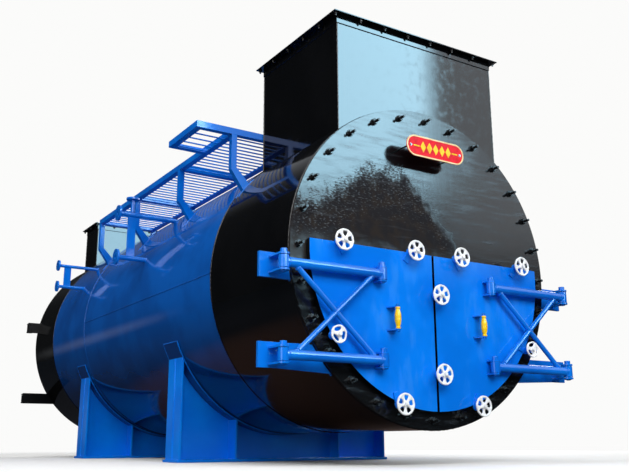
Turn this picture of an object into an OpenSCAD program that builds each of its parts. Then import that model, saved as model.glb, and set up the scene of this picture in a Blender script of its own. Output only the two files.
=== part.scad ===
// Horizontal shell boiler on two saddles, with a pair of smokebox doors hung on braced swing arms.
// Y runs along the boiler with the front plate facing -Y, Z is up, and the saddles stand on z = 0.
// Places along the boiler are measured back from the front plate's face, and placed() shifts them.

/* [Shell] */
// Height of the boiler's axis above the saddles' underside
axis_h = 1320; // [1250:10:1500]
// Outer radius of the shell, the smokeboxes and the front plate
shell_r = 1100; // [1050:10:1120]
// Plate thickness of the shell
shell_t = 16; // [10:1:25]
// Thickness of each tube sheet
sheet_t = 25; // [15:1:40]
// Where the shell starts behind the front plate
shell_start = 1120; // [1100:10:1200]
// Where the shell ends
shell_end = 5250; // [5100:10:5400]

/* [Smokeboxes] */
// Plate thickness of the two smokeboxes
smoke_t = 12; // [6:1:16]
// Thickness of the front plate and of the rear cover
plate_t = 20; // [10:1:30]
// Where the rear smokebox ends
rear_end = 6000; // [5900:10:6200]
// Inner radius of the bolting ring inside each smokebox rim
ring_in_r = 1000; // [980:5:1040]

/* [Uptakes] */
// Half width of the front uptake box
uptake_w = 710; // [650:5:750]
// Height of the front uptake's open top
uptake_top = 3010; // [2800:10:3200]
// Half width of the rear uptake box
rear_uptake_w = 650; // [550:5:700]
// Height of the rear uptake's open top
rear_uptake_top = 2724; // [2650:10:3000]
// Width of the flanges' flat leg outside the box
flange_leg = 50; // [30:5:70]

/* [Doors] */
// Radius of the doors' round edge
door_r = 984; // [940:2:990]
// Height of the doors' straight top edge above the axis
door_rise = 50; // [20:5:100]
// Gap between the two doors
door_split = 20; // [16:1:30]
// How far the doors' outer face stands before the front plate
door_face = 45; // [40:1:60]
// Gap between a closed door's rim and the front plate
door_gap = 6; // [5:1:15]
// Distance of the swing arms' hinge pins from the middle
hinge_x = 1200; // [1190:5:1230]
// Distance of the door lugs' pins from the middle
lug_x = 475; // [440:5:520]
// How far the pins and the arms stand before the front plate
arm_y = 100; // [95:1:110]
// Height of the upper arm pipes
arm_top_z = 1185; // [1150:5:1220]
// Height of the lower arm pipes
arm_low_z = 638; // [600:5:700]
// Radius of the arm pipes
arm_r = 30; // [24:1:32]
// Radius of the diagonal braces
brace_r = 17; // [12:1:20]
// Radius of the hinge pins
pin_r = 15; // [10:1:16]
// Radius of the bored knuckles round the pins
knuckle_r = 32; // [26:1:34]

/* [Handwheels] */
// Outer radius of the large handwheels
wheel_r = 75; // [60:1:80]
// Outer radius of the two small handwheels at the doors' sides
small_wheel_r = 63; // [50:1:66]
// How far the handwheels' rims stand before the front plate
wheel_y = 120; // [115:1:125]

/* [Saddles] */
// Width of each saddle along the boiler
saddle_w = 270; // [200:10:320]
// Half length of each saddle, over its end plates
saddle_x = 985; // [900:5:1020]
// Where the front saddle starts
front_saddle_y = 1838; // [1600:10:2000]
// Where the rear saddle starts
rear_saddle_y = 4195; // [4000:10:4400]

/* [Walkway] */
// Distance of the walkway's outer beam from the middle
walk_out_x = 980; // [900:5:1050]
// Distance of the walkway's inner beam from the middle
walk_in_x = 360; // [300:5:450]
// Height of the walkway's top
walk_top = 2470; // [2440:5:2560]
// Where the walkway starts
walk_start = 1065; // [1060:5:1100]
// Where the walkway ends
walk_end = 4190; // [4000:10:4200]
// Distance of the landing's outer beam from the middle
landing_x = 1270; // [1200:5:1300]
// Spacing of the grating bars
bar_pitch = 52; // [40:1:80]

/* [Nozzles] */
// How far the nozzles' flange faces stand from the middle
nozzle_x = 1300; // [1250:5:1300]
// Place of the front pair of nozzles along the shell
front_nozzle_y = 2660; // [2500:10:2800]
// Place of the rear pair of nozzles along the shell
rear_nozzle_y = 4530; // [4470:10:4700]

/* [Hidden] */
$fn = 96;
round_fn = 720;

seat = 0.1;
grip_y = 120;
grip_r = 21;
clamp_reach = 60;
origin_y = (rear_end + plate_t + clamp_reach - grip_y - grip_r) / 2;

blue = "#1768c4";
black = "#15171a";
white = "#e8eaec";
yellow = "#f2c318";
steel = "#8d9196";
red = "#b3202c";
board = "#b9b2a2";

// Handwheels: place across, height and outer radius, as left wheels, right wheels and middle wheels
wheel_top_z = axis_h + door_rise;
top_outer = [775, wheel_top_z, wheel_r];
top_inner = [200, wheel_top_z, wheel_r];
side = [825, 778, small_wheel_r];
bottom = [330, 375, wheel_r];
upper_middle = [0, 1092, wheel_r];
lower_middle = [0, 570, wheel_r];
edge_wheels = [top_outer, top_inner, side, bottom];
middle_wheels = [upper_middle, lower_middle];
screw_r = 9;
boss_r = 22;
ear_t = 10;
notch_r = 24;

front_nozzle_z = [1735, 2135];
rear_nozzle_z = [1775, 2000];
front_pipe_r = 21.2;
rear_pipe_r = 16.85;

placed_shift = [0, -origin_y, 0];

// Common shapes

module placed() {
    translate(placed_shift) children();
}

// A tube or disc about the boiler's axis, from y for len
module drum(y, len, r_out, r_in = 0) {
    translate([0, y, axis_h]) rotate([-90, 0, 0]) difference() {
        cylinder(r = r_out, h = len, $fn = round_fn);
        if (r_in > 0) translate([0, 0, -1]) cylinder(r = r_in, h = len + 2, $fn = round_fn);
    }
}

// A flat outline given across and up, as a plate from y for t
module plate_at(y, t) {
    translate([0, y + t, 0]) rotate([90, 0, 0]) linear_extrude(t) children();
}

module rod_y(x, z, y0, y1, r) {
    translate([x, y0, z]) rotate([-90, 0, 0]) cylinder(r = r, h = y1 - y0);
}

module rod_x(x0, x1, y, z, r) {
    translate([x0, y, z]) rotate([0, 90, 0]) cylinder(r = r, h = x1 - x0);
}

module rod_z(x, y, z0, z1, r) {
    translate([x, y, z0]) cylinder(r = r, h = z1 - z0);
}

// A round bar between two points that have the same y
module rod_xz(x0, z0, x1, z1, y, r) {
    dx = x1 - x0;
    dz = z1 - z0;
    translate([x0, y, z0]) rotate([0, atan2(dx, dz), 0]) cylinder(r = r, h = norm([dx, dz]));
}

// Blocks and frames given by their limits
module block(x0, x1, y0, y1, z0, z1) {
    translate([x0, y0, z0]) cube([x1 - x0, y1 - y0, z1 - z0]);
}

// Shell and ends

module nozzle_holes(y, heights, r) {
    for (z = heights) rod_x(-shell_r - 10, -shell_r / 2, y, z, r + seat);
}

module boiler_shell() {
    color(blue) placed() difference() {
        drum(shell_start, shell_end - shell_start, shell_r, shell_r - shell_t);
        nozzle_holes(front_nozzle_y, front_nozzle_z, front_pipe_r);
        nozzle_holes(rear_nozzle_y, rear_nozzle_z, rear_pipe_r);
    }
}

// The tubes fill the lower part of the shell, on a square pitch
tube_r = 44.5;
tube_wall = 4;
tube_pitch = 160;
tube_field_r = 960;
tube_top = 220;
tube_steps = floor(tube_field_r / tube_pitch);
tube_rows = [for (i = [-tube_steps : tube_steps]) i * tube_pitch];
tube_places = [for (x = tube_rows, z = tube_rows) if (norm([x, z]) < tube_field_r && z < tube_top) [x, z]];

module tube_sheet(y) {
    difference() {
        drum(y, sheet_t, shell_r - shell_t - seat);
        for (p = tube_places) rod_y(p[0], axis_h + p[1], y - 1, y + sheet_t + 1, tube_r + seat);
    }
}

module fire_tubes() {
    color(black) placed() for (p = tube_places) difference() {
        rod_y(p[0], axis_h + p[1], shell_start - 6, shell_end + 6, tube_r);
        rod_y(p[0], axis_h + p[1], shell_start - 7, shell_end + 7, tube_r - tube_wall);
    }
}

module front_tube_sheet() {
    color(black) placed() tube_sheet(shell_start);
}

module rear_tube_sheet() {
    color(black) placed() tube_sheet(shell_end - sheet_t);
}

// Front smokebox and its plate

box_front = 31;
box_rear = 1055;
box_t = 6;
rim_t = 16;

module front_smokebox() {
    color(black) placed() difference() {
        union() {
            drum(plate_t, shell_start - plate_t, shell_r, shell_r - smoke_t);
            drum(plate_t, rim_t, shell_r - smoke_t / 2, ring_in_r);
        }
        block(-uptake_w + box_t, uptake_w - box_t, plate_t + rim_t + 4, box_rear - box_t, axis_h, uptake_top);
    }
}

opening_r = 930;
mullion = 60;

module door_opening_outline() {
    difference() {
        translate([0, axis_h]) circle(r = opening_r, $fn = round_fn);
        translate([-shell_r, axis_h]) square([2 * shell_r, shell_r]);
        translate([-mullion, 0]) square([2 * mullion, 2 * axis_h]);
    }
}

module front_plate() {
    color(black) placed() plate_at(0, plate_t) difference() {
        translate([0, axis_h]) circle(r = shell_r, $fn = round_fn);
        door_opening_outline();
    }
}

// Uptakes: an open box on the smokebox with an angle flange round its top

module uptake_box(half_w, y0, y1, top) {
    difference() {
        block(-half_w, half_w, y0, y1, axis_h, top);
        block(-half_w + box_t, half_w - box_t, y0 + box_t, y1 - box_t, axis_h - 1, top + 1);
        drum(y0 - 1, y1 - y0 + 2, shell_r + seat);
    }
}

module uptake_flange(half_w, y0, y1, top) {
    leg_h = 60;
    leg_t = 6;
    difference() {
        union() {
            block(-half_w - flange_leg, half_w + flange_leg, y0 - flange_leg, y1 + flange_leg, top, top + leg_t);
            block(-half_w - leg_t, half_w + leg_t, y0 - leg_t, y1 + leg_t, top - leg_h, top);
        }
        block(-half_w, half_w, y0, y1, top - leg_h - 1, top);
        block(-half_w + box_t, half_w - box_t, y0 + box_t, y1 - box_t, top - 1, top + leg_t + 1);
    }
}

module front_uptake_box() {
    color(black) placed() uptake_box(uptake_w, box_front, box_rear, uptake_top);
}

module front_uptake_flange() {
    color(black) placed() uptake_flange(uptake_w, box_front, box_rear, uptake_top);
}

rear_box_front = 5290;
rear_box_rear = 5710;

module rear_uptake_box() {
    color(black) placed() uptake_box(rear_uptake_w, rear_box_front, rear_box_rear, rear_uptake_top);
}

module rear_uptake_flange() {
    color(black) placed() uptake_flange(rear_uptake_w, rear_box_front, rear_box_rear, rear_uptake_top);
}

// Rear smokebox, its cover and the cover's clamps

module rear_smokebox() {
    color(black) placed() difference() {
        union() {
            drum(shell_end, rear_end - shell_end, shell_r, shell_r - smoke_t);
            drum(rear_end - rim_t, rim_t, shell_r - smoke_t / 2, ring_in_r);
        }
        block(-rear_uptake_w + box_t, rear_uptake_w - box_t, rear_box_front + box_t, rear_box_rear - box_t,
            axis_h, rear_uptake_top);
    }
}

strap_h = 76;
strap_t = 16;
rear_strap_z = [668, 1505];
rear_pin_x = hinge_x - 20;
rear_pin_y = rear_end + plate_t + clamp_reach - knuckle_r;

// The cover hangs on two straps that end in knuckles
module rear_cover() {
    color(black) placed() {
        drum(rear_end, plate_t, shell_r);
        for (z = rear_strap_z) difference() {
            union() {
                block(-rear_pin_x, 300, rear_end + plate_t - 1, rear_end + plate_t + strap_t, z - strap_h / 2,
                    z + strap_h / 2);
                rod_z(-rear_pin_x, rear_pin_y, z - strap_h / 2, z + strap_h / 2, knuckle_r);
            }
            rod_z(-rear_pin_x, rear_pin_y, 0, 2 * axis_h, pin_r + 0.05);
        }
    }
}

clamp_count = 10;
clamp_start = 24;
clamp_circle_r = 1062;

module rear_cover_clamps() {
    color(steel) placed() for (i = [0 : clamp_count - 1])
        translate([0, rear_end + plate_t, axis_h]) rotate([0, clamp_start + i * 360 / clamp_count, 0])
            translate([clamp_circle_r, 0, 0]) {
                translate([-25, 0, -25]) cube([50, 10, 50]);
                translate([0, 9, 0]) rotate([-90, 0, 0]) cylinder(r = 11, h = clamp_reach - 9);
                translate([0, 44, -55]) cylinder(r = 7, h = 110);
            }
}

// Hinge brackets: a gusset plate on the smokebox's side with a clevis that holds a pin

clevis_r = 35;
clevis_t = 12;
clevis_in = 42;
gusset_t = 20;
gusset_x = 1300;

module clevis(x, z, pin_y, root_y) {
    for (s = [-1, 1]) translate([x, 0, z + s * (clevis_in + clevis_t / 2) - clevis_t / 2])
        difference() {
            union() {
                translate([0, pin_y, 0]) cylinder(r = clevis_r, h = clevis_t);
                translate([-clevis_r, min(pin_y, root_y), 0]) cube([2 * clevis_r, abs(root_y - pin_y), clevis_t]);
            }
            translate([0, pin_y, -1]) cylinder(r = pin_r + 0.05, h = clevis_t + 2);
        }
}

// A gusset from the smokebox out to x_out; its underside falls towards the root
module gusset(y, top, low_out, low_root, x_out = gusset_x) {
    difference() {
        plate_at(y, gusset_t) polygon([[500, low_root], [500, top], [x_out, top], [x_out, low_out],
            [x_out - 120, low_out]]);
        drum(y - 1, gusset_t + 2, shell_r + seat);
    }
}

module hinge_bracket(z, top, low_out, low_root) {
    gusset_y = plate_t + 2;
    gusset(gusset_y, top, low_out, low_root);
    clevis(hinge_x, z, -arm_y, gusset_y);
}

module right_brackets() {
    hinge_bracket(arm_top_z, 1262, 1108, 1096);
    hinge_bracket(arm_low_z, 722, 570, 538);
}

module door_hinge_brackets() {
    color(blue) placed() for (s = [0, 1]) mirror([s, 0, 0]) right_brackets();
}

module rear_hinge_brackets() {
    color(black) placed() mirror([1, 0, 0]) for (z = rear_strap_z) {
        gusset(rear_end - gusset_t - 10, z + 60, z - 60, z - 60, rear_pin_x + clevis_r);
        difference() {
            clevis(rear_pin_x, z, rear_pin_y, rear_end - 12);
            drum(rear_end - 13, plate_t + clamp_reach, shell_r + seat);
        }
    }
}

// A headed pin that stands in a clevis round height z
module headed_pin(x, z, reach) {
    rod_z(x, -arm_y, z - reach - 8, z + reach, pin_r);
    rod_z(x, -arm_y, z + reach, z + reach + 24, pin_r + 6);
}

module right_pins() {
    for (z = [arm_low_z, arm_top_z]) headed_pin(hinge_x, z, clevis_in + clevis_t);
}

module door_hinge_pins() {
    color(steel) placed() for (s = [0, 1]) mirror([s, 0, 0]) right_pins();
}

// Swing arms: two pipes with diagonal braces between them and a bored knuckle at each end

knuckle_h = 76;
lug_in = 40;
lug_t = 10;
lug_r = 28;
brace_out_x = 1130;
brace_in_x = 530;

module right_arm() {
    difference() {
        union() {
            for (z = [arm_low_z, arm_top_z]) {
                rod_x(lug_x, hinge_x, -arm_y, z, arm_r);
                rod_z(hinge_x, -arm_y, z - knuckle_h / 2, z + knuckle_h / 2, knuckle_r);
                rod_z(lug_x, -arm_y, z - knuckle_h / 2, z + knuckle_h / 2, knuckle_r);
            }
            rod_xz(brace_out_x, arm_low_z, brace_in_x, arm_top_z, -arm_y, brace_r);
            rod_xz(brace_in_x, arm_low_z, brace_out_x, arm_top_z, -arm_y, brace_r);
        }
        for (x = [lug_x, hinge_x]) rod_z(x, -arm_y, 0, axis_h, pin_r + 0.05);
    }
}

module left_door_arm() {
    color(blue) placed() mirror([1, 0, 0]) right_arm();
}

module right_door_arm() {
    color(blue) placed() right_arm();
}

// Doors: a flanged half disc with lugs, ears that carry the clamp screws, and the screws

skin_t = 8;

module half_outline(r, rise, inner_x) {
    intersection() {
        translate([0, axis_h]) circle(r = r, $fn = round_fn);
        translate([inner_x, axis_h - r - 1]) square([r, r + 1 + rise]);
    }
}

module door_outline(inset) {
    half_outline(door_r - inset, door_rise - inset, door_split / 2 + inset);
}

module lug_pair(z) {
    for (s = [-1, 1]) translate([lug_x, 0, z + s * (lug_in + lug_t / 2) - lug_t / 2])
        difference() {
            union() {
                translate([0, -arm_y, 0]) cylinder(r = lug_r, h = lug_t);
                translate([-lug_r, -arm_y, 0]) cube([2 * lug_r, arm_y - door_face + 1, lug_t]);
            }
            translate([0, -arm_y, -1]) cylinder(r = pin_r + 0.05, h = lug_t + 2);
        }
}

// The ear reaches inward from the wheel's place to the door's face
module edge_ear(w) {
    inward = atan2(w[0] - lug_x, w[1] - grip_z);
    plate_at(-door_face - ear_t, ear_t + 1) {
        translate([w[0], w[1]]) circle(r = boss_r + 6);
        translate([w[0], w[1]]) rotate([0, 0, -inward]) translate([-boss_r, -80]) square([2 * boss_r, 80]);
    }
    rod_y(w[0], w[1], -wheel_y + 23, -door_face, boss_r);
    rod_y(w[0], w[1], -wheel_y - 18, -door_gap, screw_r);
}

// The middle ears lap over the other door, clear of its face
module middle_ear(w) {
    lap = 6;
    plate_at(-door_face - lap - ear_t, ear_t) {
        translate([w[0], w[1]]) circle(r = boss_r + 6);
        translate([w[0], w[1] - boss_r]) square([90, 2 * boss_r]);
    }
    block(w[0] + 40, w[0] + 90, -door_face - lap - 1, -door_face + 1, w[1] - boss_r, w[1] + boss_r);
    rod_y(w[0], w[1], -wheel_y + 23, -door_face - lap, boss_r);
    rod_y(w[0], w[1], -wheel_y - 18, -door_gap, screw_r);
}

module door_notches() {
    for (w = middle_wheels) rod_y(w[0], w[1], -door_face - 1, 0, notch_r);
}

module door_pan() {
    difference() {
        plate_at(-door_face, door_face - door_gap) door_outline(0);
        plate_at(-door_face + skin_t, door_face) door_outline(skin_t);
    }
}

module right_door_shape() {
    difference() {
        door_pan();
        door_notches();
    }
    for (z = [arm_low_z, arm_top_z]) lug_pair(z);
    for (w = edge_wheels) edge_ear(w);
}

module left_door() {
    color(blue) placed() mirror([1, 0, 0]) right_door_shape();
}

module right_door() {
    color(blue) placed() {
        right_door_shape();
        for (w = middle_wheels) middle_ear(w);
    }
}

module right_lining() {
    plate_at(-door_face + skin_t, door_face - door_gap - skin_t) difference() {
        half_outline(opening_r - 20, -20, mullion + 20);
        for (w = edge_wheels) translate([w[0], w[1]]) circle(r = screw_r + 6);
    }
}

module left_door_lining() {
    color(board) placed() mirror([1, 0, 0]) right_lining();
}

module right_door_lining() {
    color(board) placed() right_lining();
}

module right_lug_pins() {
    for (z = [arm_low_z, arm_top_z]) headed_pin(lug_x, z, lug_in + lug_t);
}

module left_door_pins() {
    color(steel) placed() mirror([1, 0, 0]) right_lug_pins();
}

module right_door_pins() {
    color(steel) placed() right_lug_pins();
}

// Grips: a turned handle on a rod between two gusset plates

grip_x = 372;
grip_z = 910;
grip_len = 138;
grip_rod_r = 8;
grip_bore = grip_rod_r + seat;
grip_profile = [[grip_bore, 0], [15, 0], [16, 8], [12, 14], [17, 30], [grip_r, 52], [grip_r, 86], [17, 108],
    [12, 124], [16, 130], [15, grip_len], [grip_bore, grip_len]];

module right_grip_bracket_shape() {
    for (s = [-1, 1]) {
        z = grip_z + s * (grip_len / 2 + 4 + seat) - 4;
        translate([grip_x, 0, z]) linear_extrude(8) polygon([[-35, -door_face], [35, -door_face],
            [12, -grip_y - 10], [-12, -grip_y - 10]]);
    }
    rod_z(grip_x, -grip_y, grip_z - grip_len / 2 - 18, grip_z + grip_len / 2 + 18, grip_rod_r);
}

module grip_shape() {
    translate([grip_x, -grip_y, grip_z - grip_len / 2]) rotate_extrude() polygon(grip_profile);
}

module left_grip_bracket() {
    color(blue) placed() mirror([1, 0, 0]) right_grip_bracket_shape();
}

module right_grip_bracket() {
    color(blue) placed() right_grip_bracket_shape();
}

module left_grip() {
    color(yellow) placed() mirror([1, 0, 0]) grip_shape();
}

module right_grip() {
    color(yellow) placed() grip_shape();
}

// Handwheels: a round rim, five tapering spokes and a bored hub

spokes = 5;
rim_r = 7.5;
hub_r = 19;

module handwheel(x, z, r) {
    translate([x, -wheel_y, z]) rotate([90, 0, 0]) difference() {
        union() {
            rotate_extrude() translate([r - rim_r, 0]) circle(r = rim_r, $fn = 32);
            translate([0, 0, -20]) cylinder(r = hub_r, h = 32);
            for (i = [0 : spokes - 1]) rotate([0, 0, 90 + i * 360 / spokes]) translate([0, 0, -4])
                linear_extrude(8) polygon([[0, -11], [r - rim_r, -7], [r - rim_r, 7], [0, 11]]);
        }
        translate([0, 0, -40]) cylinder(r = screw_r + 0.05, h = 80);
    }
}

module left_wheel(w) {
    color(white) placed() handwheel(-w[0], w[1], w[2]);
}

module right_wheel(w) {
    color(white) placed() handwheel(w[0], w[1], w[2]);
}

// Saddles: base, web, ribs and a wear plate rolled to the shell

web_t = 16;
wear_t = 12;
wear_top = axis_h - 397;
base_t = 20;
inner_rib_x = 495;

module saddle(y) {
    mid = y + saddle_w / 2;
    wear_r = shell_r + wear_t;
    difference() {
        union() {
            block(-saddle_x - 15, saddle_x + 15, y - 15, y + saddle_w + 15, 0, base_t);
            block(-saddle_x, saddle_x, mid - web_t / 2, mid + web_t / 2, base_t, axis_h);
            for (x = [-saddle_x, -inner_rib_x - web_t / 2, inner_rib_x - web_t / 2, saddle_x - web_t])
                block(x, x + web_t, y, y + saddle_w, base_t, axis_h);
        }
        drum(y - 20, saddle_w + 40, wear_r - 1);
        block(-2 * saddle_x, 2 * saddle_x, y - 20, y + saddle_w + 20, wear_top, 2 * axis_h);
    }
    difference() {
        drum(y, saddle_w, wear_r, shell_r + seat);
        block(-2 * saddle_x, 2 * saddle_x, y - 1, y + saddle_w + 1, wear_top, 3 * axis_h);
    }
}

module front_saddle() {
    color(blue) placed() saddle(front_saddle_y);
}

module rear_saddle() {
    color(blue) placed() saddle(rear_saddle_y);
}

// Walkway: an angle frame with a landing, bar grating, and posts down to the shell

beam = 50;
angle_t = 6;
landing_end = 1600;
post_y = [walk_start, 2050, 3095, walk_end - beam];

// An angle section lying with its foot under the grating
module angle_y(x, y0, y1, foot) {
    block(x, x + angle_t, y0, y1, walk_top - beam, walk_top);
    block(min(x, x + foot), max(x, x + foot), y0, y1, walk_top - beam, walk_top - beam + angle_t);
}

module angle_x(x0, x1, y, foot) {
    block(x0, x1, y, y + angle_t, walk_top - beam, walk_top);
    block(x0, x1, min(y, y + foot), max(y, y + foot), walk_top - beam, walk_top - beam + angle_t);
}

module walkway_frame() {
    color(blue) placed() {
        angle_y(-walk_out_x, walk_start, walk_end, beam);
        angle_y(-walk_in_x - angle_t, walk_start, walk_end, -beam);
        angle_y(-landing_x, walk_start, landing_end, beam);
        angle_x(-landing_x, -walk_in_x, walk_start, beam);
        angle_x(-walk_out_x, -walk_in_x, walk_end - angle_t, -beam);
        angle_x(-landing_x, -walk_out_x, landing_end - angle_t, -beam);
        for (i = [1, 2]) angle_x(-walk_out_x, -walk_in_x, post_y[i], beam);
    }
}

bar_t = 5;
bar_h = 25;
bar_z = walk_top - beam + angle_t;

// One panel of bars across the walkway on two rods
module grating_panel(x0, x1, y0, y1) {
    count = floor((y1 - y0 - bar_t) / bar_pitch);
    start = y0 + (y1 - y0 - bar_t - count * bar_pitch) / 2;
    for (i = [0 : count]) block(x0, x1, start + i * bar_pitch, start + i * bar_pitch + bar_t, bar_z, bar_z + bar_h);
    for (s = [0.25, 0.75]) block(x0 + s * (x1 - x0) - 4, x0 + s * (x1 - x0) + 4, start, start + count * bar_pitch,
        bar_z + 4, bar_z + 12);
}

module walkway_grating() {
    left = -walk_out_x + angle_t;
    right = -walk_in_x - angle_t;
    color(blue) placed() {
        for (i = [0 : 2]) grating_panel(left, right, post_y[i] + angle_t, i < 2 ? post_y[i + 1] : walk_end - angle_t);
        grating_panel(-landing_x + angle_t, -walk_out_x, walk_start + angle_t, landing_end - angle_t);
    }
}

post_w = 45;
kink_z = 2150;
foot_x = 850;

// A post drops from the outer beam, then leans in to the shell; a short one carries the inner beam
module walkway_posts() {
    post_x = walk_out_x - post_w;
    color(blue) placed() difference() {
        for (y = post_y) {
            plate_at(y, post_w) {
                polygon([[-walk_out_x, walk_top - beam], [-post_x, walk_top - beam], [-post_x, kink_z + 10],
                    [-foot_x + 80, kink_z - 160], [-foot_x + 20, kink_z - 220], [-walk_out_x, kink_z - 10]]);
                translate([-walk_in_x - post_w, axis_h + shell_r - 100])
                    square([post_w, walk_top - beam - axis_h - shell_r + 100]);
            }
        }
        drum(walk_start - 1, walk_end - walk_start + 2, shell_r + seat);
    }
}

// Nozzles: pipe stubs with flanges, and a flat bar that ties each pair

flange_t = 18;
bolt_count = 4;

// A flange whose face looks along +Z, at the origin
module flange(od, bcd, hole_r, pipe_r) {
    translate([0, 0, -flange_t]) difference() {
        cylinder(r = od / 2, h = flange_t);
        for (i = [0 : bolt_count - 1]) rotate([0, 0, 45 + i * 360 / bolt_count]) translate([bcd / 2, 0, -1])
            cylinder(r = hole_r, h = flange_t + 2);
    }
}

module side_nozzles(y, heights, pipe_r, wall, od, bcd, hole_r, tie_x) {
    difference() {
        union() {
            for (z = heights) {
                rod_x(-nozzle_x, -sqrt(pow(shell_r - shell_t, 2) - pow(z - axis_h, 2)) + 10, y, z, pipe_r);
                translate([-nozzle_x, y, z]) rotate([0, -90, 0]) flange(od, bcd, hole_r, pipe_r);
            }
            block(tie_x - 37, tie_x + 37, y - 4, y + 4, heights[0], heights[1]);
            children();
        }
        for (z = heights) rod_x(-nozzle_x - 1, -shell_r / 2, y, z, pipe_r - wall);
    }
}

branch_x = -1165;
branch_top = 2290;
branch_r = 16.85;

module front_nozzles() {
    color(blue) placed() difference() {
        side_nozzles(front_nozzle_y, front_nozzle_z, front_pipe_r, 3.6, 140, 100, 9, branch_x) {
            rod_z(branch_x, front_nozzle_y, front_nozzle_z[1], branch_top, branch_r);
            translate([branch_x, front_nozzle_y, branch_top]) flange(115, 85, 7, branch_r);
        }
        rod_z(branch_x, front_nozzle_y, front_nozzle_z[1], branch_top + 1, branch_r - 3.6);
    }
}

module rear_nozzles() {
    color(blue) placed()
        side_nozzles(rear_nozzle_y, rear_nozzle_z, rear_pipe_r, 3.6, 115, 85, 7, -1190);
}

// Nameplate: a bare plate with round ends on two posts before the front plate

name_len = 510;
name_h = 150;
name_z = 2108;
name_y = 117;

module nameplate() {
    color(red) placed() {
        plate_at(-name_y - 6, 6) {
            translate([-name_len / 2 + name_h / 2, name_z - name_h / 2]) square([name_len - name_h, name_h]);
            for (s = [-1, 1]) translate([s * (name_len - name_h) / 2, name_z]) circle(r = name_h / 2);
        }
        for (s = [-1, 1]) rod_y(s * (name_len / 2 - 35), name_z, -name_y - 1, 0, 6);
    }
}

boiler_shell();
front_tube_sheet();
rear_tube_sheet();
front_smokebox();
front_plate();
front_uptake_box();
front_uptake_flange();
rear_smokebox();
rear_cover();
rear_cover_clamps();
rear_hinge_brackets();
rear_uptake_box();
rear_uptake_flange();
front_saddle();
rear_saddle();
walkway_frame();
walkway_grating();
walkway_posts();
front_nozzles();
rear_nozzles();
door_hinge_brackets();
door_hinge_pins();
nameplate();
fire_tubes();
left_door_arm();
right_door_arm();
left_door();
right_door();
left_door_lining();
right_door_lining();
left_door_pins();
right_door_pins();
left_grip_bracket();
right_grip_bracket();
left_grip();
right_grip();
left_wheel(top_outer);  // left_top_outer_wheel
left_wheel(top_inner);  // left_top_inner_wheel
left_wheel(side);  // left_side_wheel
left_wheel(bottom);  // left_bottom_wheel
right_wheel(top_outer);  // right_top_outer_wheel
right_wheel(top_inner);  // right_top_inner_wheel
right_wheel(side);  // right_side_wheel
right_wheel(bottom);  // right_bottom_wheel
right_wheel(upper_middle);  // upper_middle_wheel
right_wheel(lower_middle);  // lower_middle_wheel
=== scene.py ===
import math

import bmesh
import bpy
from mathutils import Matrix, Vector


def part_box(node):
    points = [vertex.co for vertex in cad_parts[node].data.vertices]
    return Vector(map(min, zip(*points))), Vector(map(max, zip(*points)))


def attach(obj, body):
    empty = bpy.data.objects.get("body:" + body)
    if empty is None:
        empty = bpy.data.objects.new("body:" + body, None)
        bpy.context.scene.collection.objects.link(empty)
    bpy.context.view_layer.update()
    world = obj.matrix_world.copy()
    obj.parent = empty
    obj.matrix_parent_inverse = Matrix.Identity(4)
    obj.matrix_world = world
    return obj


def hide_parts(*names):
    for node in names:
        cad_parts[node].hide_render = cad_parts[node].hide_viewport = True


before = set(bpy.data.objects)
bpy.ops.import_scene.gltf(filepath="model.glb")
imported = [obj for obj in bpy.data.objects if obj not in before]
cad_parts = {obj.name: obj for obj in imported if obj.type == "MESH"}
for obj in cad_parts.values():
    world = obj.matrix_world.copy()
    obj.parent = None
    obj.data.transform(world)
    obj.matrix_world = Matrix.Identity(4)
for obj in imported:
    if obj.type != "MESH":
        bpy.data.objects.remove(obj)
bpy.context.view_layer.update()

MM = 0.001
X_AXIS, Y_AXIS, Z_AXIS = Vector((1, 0, 0)), Vector((0, 1, 0)), Vector((0, 0, 1))
FACE_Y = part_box("front_plate")[0].y


def along(point):
    """How far a point in metres lies behind the front plate's face, in millimetres."""
    return (point.y - FACE_Y) / MM


def place(x, y, z):
    """A point in metres from millimetres across, behind the front plate's face, and up."""
    return Vector((x * MM, FACE_Y + y * MM, z * MM))


def uptake(low, high):
    """An uptake box's half width, front, rear and top, from its corners."""
    return high.x / MM, along(low), along(high), high.z / MM


# Places that the frame gives
SHELL_LOW, SHELL_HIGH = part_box("boiler_shell")
SHELL_R = (SHELL_HIGH.z - SHELL_LOW.z) / 2 / MM
AXIS_Z = (SHELL_HIGH.z + SHELL_LOW.z) / 2 / MM
SHELL_START, SHELL_END = along(SHELL_LOW), along(SHELL_HIGH)
PLATE_T = along(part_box("front_plate")[1])
REAR_END = along(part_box("rear_cover")[0])
UPTAKES = {"front": uptake(*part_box("front_uptake_box")), "rear": uptake(*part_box("rear_uptake_box"))}
SADDLE_STARTS = [along(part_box("front_saddle")[0]), along(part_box("rear_saddle")[0])]
GRATING_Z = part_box("walkway_grating")[0].z / MM

# Places that the part's source gives
HINGE_X, LUG_X, ARM_Y = 1200, 475, 100
ARM_HEIGHTS = (638, 1185)
BRACE_OUT, BRACE_IN = 1130, 530
GRIP_X, GRIP_Y, GRIP_Z = 372, 120, 910
WHEEL_Y = 120
DOOR_FACE = 45
WEAR_T = 12
POST_YS, POST_W = (1065, 2050, 3095, 4140), 45
NAME_LEN, NAME_H, NAME_Z, NAME_Y, NAME_T = 510, 150, 2108, 123, 6
SIDES = (-1, 1)
LEAVES = {-1: "left_leaf", 1: "right_leaf"}
ARMS = {-1: "left_arm", 1: "right_arm"}

# The setting of a Map Range node that eases in and out
SMOOTH = {"interpolation_type": "SMOOTHSTEP"}


def linear(colour):
    """Turns an sRGB hex colour to the linear values that the nodes take."""
    parts = [int(colour[i:i + 2], 16) / 255 for i in (1, 3, 5)]
    return (*(c / 12.92 if c <= 0.04045 else ((c + 0.055) / 1.055) ** 2.4 for c in parts), 1.0)


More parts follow.
